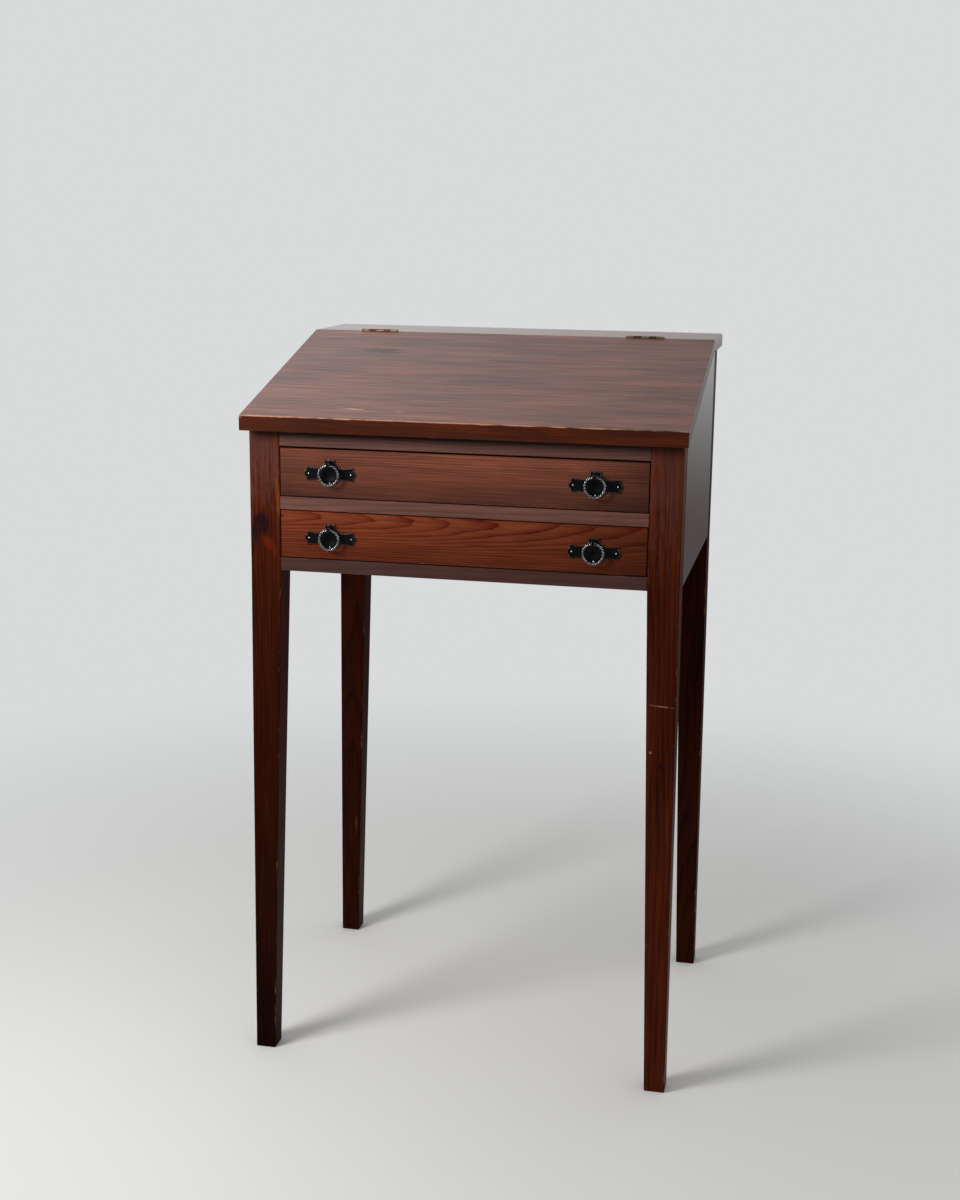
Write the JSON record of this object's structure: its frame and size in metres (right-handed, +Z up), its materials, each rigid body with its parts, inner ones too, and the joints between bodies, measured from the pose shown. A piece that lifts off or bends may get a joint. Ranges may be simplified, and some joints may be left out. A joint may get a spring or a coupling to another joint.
{
  "type": "standing desk",
  "caption": "Slant-top standing desk in stained pine on tall tapered legs, with a hinged writing lid over a compartment, stacked dovetailed drawers and twisted iron ring pulls.",
  "frame": {"origin": "on the floor, under the middle of the desk's bounding box", "axes": "+Z up, -Y towards the user, +X to the user's right when facing the desk"},
  "size_m": [0.65, 0.5274, 1.105],
  "materials": {
    "stained_pine": "red-brown stain under a worn satin varnish, grain along each board",
    "drawer_front_pine": "red-brown stain with clear pine figure, satin varnish",
    "bare_pine": "bare aged pine, matte",
    "wrought_iron": "blackened wrought iron, worn bright on the ring",
    "brass": "tarnished brass"
  },
  "bodies": {
    "case": {"front_left_leg": "stained_pine", "front_right_leg": "stained_pine", "rear_left_leg": "stained_pine", "rear_right_leg": "stained_pine", "left_side_panel": "stained_pine", "right_side_panel": "stained_pine", "back_panel": "stained_pine", "top_rail": "stained_pine", "middle_rail": "stained_pine", "bottom_rail": "stained_pine", "rear_board": "stained_pine", "compartment_floor": "bare_pine", "upper_left_runner": "bare_pine", "upper_right_runner": "bare_pine", "lower_left_runner": "bare_pine", "lower_right_runner": "bare_pine", "upper_left_guide": "bare_pine", "upper_right_guide": "bare_pine", "lower_left_guide": "bare_pine", "lower_right_guide": "bare_pine", "upper_left_stop": "bare_pine", "upper_right_stop": "bare_pine", "lower_left_stop": "bare_pine", "lower_right_stop": "bare_pine", "left_hinge_board_leaf": "brass", "right_hinge_board_leaf": "brass", "left_hinge_pin": "brass", "right_hinge_pin": "brass"},
    "writing_lid": {"lid": "stained_pine", "left_hinge_lid_leaf": "brass", "right_hinge_lid_leaf": "brass"},
    "upper_drawer": {"upper_drawer_front": "drawer_front_pine", "upper_drawer_left_side": "bare_pine", "upper_drawer_right_side": "bare_pine", "upper_drawer_back": "bare_pine", "upper_drawer_bottom": "bare_pine", "upper_left_pull_plate": "wrought_iron", "upper_right_pull_plate": "wrought_iron", "upper_left_pull_staple": "wrought_iron", "upper_right_pull_staple": "wrought_iron"},
    "lower_drawer": {"lower_drawer_front": "drawer_front_pine", "lower_drawer_left_side": "bare_pine", "lower_drawer_right_side": "bare_pine", "lower_drawer_back": "bare_pine", "lower_drawer_bottom": "bare_pine", "lower_left_pull_plate": "wrought_iron", "lower_right_pull_plate": "wrought_iron", "lower_left_pull_staple": "wrought_iron", "lower_right_pull_staple": "wrought_iron"},
    "upper_left_ring": {"upper_left_pull_ring": "wrought_iron"},
    "upper_right_ring": {"upper_right_pull_ring": "wrought_iron"},
    "lower_left_ring": {"lower_left_pull_ring": "wrought_iron"},
    "lower_right_ring": {"lower_right_pull_ring": "wrought_iron"}
  },
  "joints": [
    {"name": "lid_hinge", "type": "hinge", "parent": "case", "child": "writing_lid", "pos_m": [0, 0.10825, 1.1025], "axis": [-1, 0, 0], "range_deg": [0, 110]},
    {"name": "upper_drawer_slide", "type": "slide", "parent": "case", "child": "upper_drawer", "axis": [0, -1, 0], "range_m": [0, 0.3]},
    {"name": "lower_drawer_slide", "type": "slide", "parent": "case", "child": "lower_drawer", "axis": [0, -1, 0], "range_m": [0, 0.3]},
    {"name": "upper_left_ring_swing", "type": "hinge", "parent": "upper_drawer", "child": "upper_left_ring", "pos_m": [-0.1945, -0.25035, 0.93244], "axis": [-1, 0, 0], "range_deg": [0, 180]},
    {"name": "upper_right_ring_swing", "type": "hinge", "parent": "upper_drawer", "child": "upper_right_ring", "pos_m": [0.1945, -0.25035, 0.93244], "axis": [-1, 0, 0], "range_deg": [0, 180]},
    {"name": "lower_left_ring_swing", "type": "hinge", "parent": "lower_drawer", "child": "lower_left_ring", "pos_m": [-0.1945, -0.25035, 0.83744], "axis": [-1, 0, 0], "range_deg": [0, 180]},
    {"name": "lower_right_ring_swing", "type": "hinge", "parent": "lower_drawer", "child": "lower_right_ring", "pos_m": [0.1945, -0.25035, 0.83744], "axis": [-1, 0, 0], "range_deg": [0, 180]}
  ]
}
